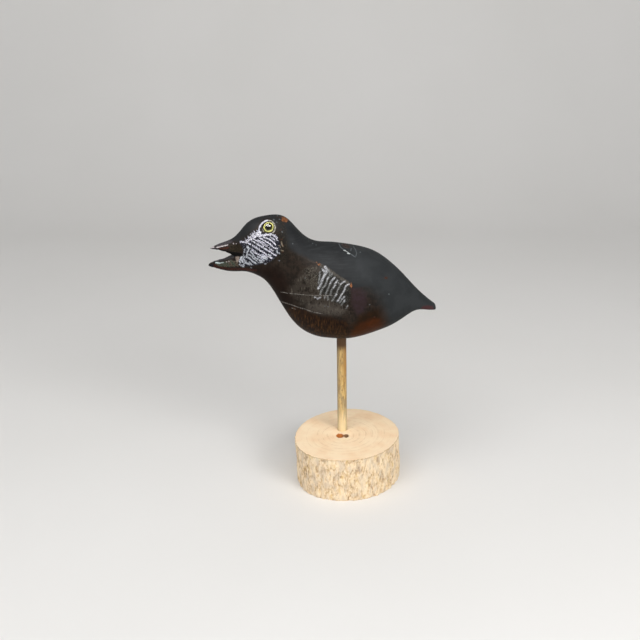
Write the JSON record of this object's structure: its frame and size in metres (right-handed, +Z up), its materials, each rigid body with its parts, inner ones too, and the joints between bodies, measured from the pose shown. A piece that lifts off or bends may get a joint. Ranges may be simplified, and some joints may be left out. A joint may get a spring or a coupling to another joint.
{
  "type": "crow decoy on a log stand",
  "caption": "Carved and painted wooden crow with an open bill and glass eyes, standing on a dowel in a bark-edged slice of log.",
  "frame": {"origin": "on the underside of the log slice, below the middle of its sawn top", "axes": "+Z up; the bill points to -X and the tail to +X; the bird's left side faces -Y"},
  "size_m": [0.2163, 0.1074, 0.2697],
  "materials": {
    "painted_wood": "satin",
    "eye_glass": "gloss",
    "dowel_wood": "matte",
    "log_wood": "matte"
  },
  "bodies": {
    "root": {"bird_body": "painted_wood", "eye_left": "eye_glass", "eye_right": "eye_glass", "dowel": "dowel_wood", "log_base": "log_wood"}
  },
  "joints": []
}
